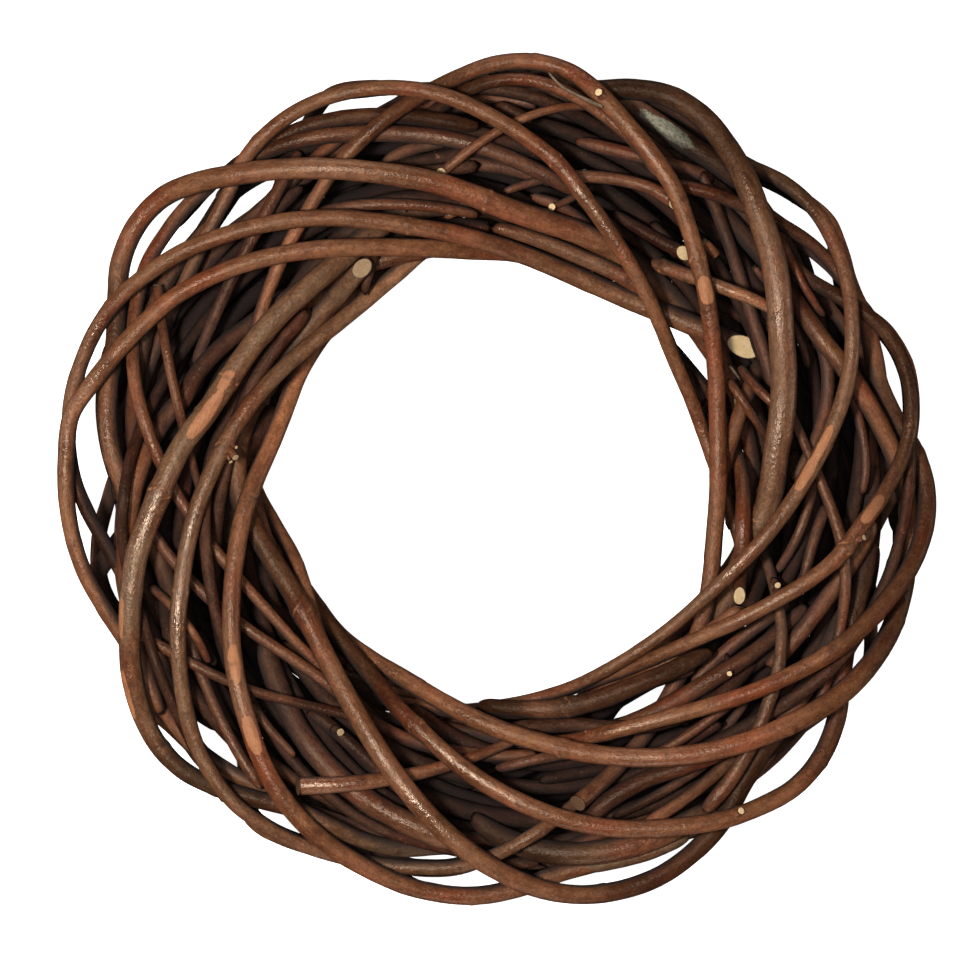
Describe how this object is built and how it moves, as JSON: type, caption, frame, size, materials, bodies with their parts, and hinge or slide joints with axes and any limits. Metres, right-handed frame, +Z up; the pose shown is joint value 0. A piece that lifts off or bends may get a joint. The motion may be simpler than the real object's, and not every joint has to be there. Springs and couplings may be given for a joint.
{
  "type": "wicker wreath",
  "caption": "Round wreath wound from whole willow rods with their bark on: crossing outer rods over a loose core, open centre, knife-cut ends.",
  "frame": {"origin": "under the middle of the ring, on the surface that the wreath lies on", "axes": "+Z up through the ring, from the back layer to the show side; +Y towards the top of the picture, +X to its right"},
  "size_m": [0.3518, 0.3406, 0.0634],
  "materials": {
    "bark_outer": "satin brown willow bark, reddish, with tan scars and paler cut ends",
    "bark_inner": "satin dark brown willow bark",
    "bark_back": "satin dark brown willow bark",
    "cut_wood": "raw pale wood of the knife cuts"
  },
  "bodies": {
    "root": {"back_rod_01": "bark_back", "back_rod_02": "bark_back", "back_rod_03": "bark_back", "back_rod_04": "bark_back", "back_rod_05": "bark_back", "back_rod_06": "bark_back", "back_rod_07": "bark_back", "back_rod_08": "bark_back", "back_rod_09": "bark_back", "back_rod_10": "bark_back", "back_rod_11": "bark_back", "front_rod_01": "bark_outer", "front_rod_02": "bark_outer", "front_rod_03": "bark_outer", "front_rod_04": "bark_outer", "front_rod_05": "bark_outer", "front_rod_06": "bark_outer", "front_rod_07": "bark_outer", "front_rod_08": "bark_outer", "front_rod_09": "bark_outer", "front_rod_10": "bark_outer", "front_rod_11": "bark_outer", "front_rod_12": "bark_outer", "front_rod_13": "bark_outer", "front_rod_14": "bark_outer", "front_rod_15": "bark_outer", "inner_rod_01": "bark_inner", "inner_rod_02": "bark_inner", "inner_rod_03": "bark_inner", "inner_rod_04": "bark_inner", "inner_rod_05": "bark_inner", "inner_rod_06": "bark_inner", "inner_rod_07": "bark_inner", "inner_rod_08": "bark_inner", "inner_rod_09": "bark_inner", "inner_rod_10": "bark_inner", "inner_rod_11": "bark_inner", "inner_rod_12": "bark_inner", "inner_rod_13": "bark_inner", "inner_rod_14": "bark_inner", "inner_rod_15": "bark_inner", "inner_rod_16": "bark_inner", "inner_rod_17": "bark_inner", "inner_rod_18": "bark_inner", "inner_rod_19": "bark_inner", "inner_rod_20": "bark_inner", "inner_rod_21": "bark_inner", "inner_rod_22": "bark_inner", "inner_rod_23": "bark_inner", "inner_rod_24": "bark_inner", "inner_rod_25": "bark_inner", "inner_rod_26": "bark_inner", "inner_rod_27": "bark_inner", "inner_rod_28": "bark_inner", "inner_rod_29": "bark_inner", "inner_rod_30": "bark_inner", "inner_rod_31": "bark_inner", "inner_rod_32": "bark_inner", "inner_rod_33": "bark_inner", "inner_rod_34": "bark_inner"}
  },
  "joints": []
}
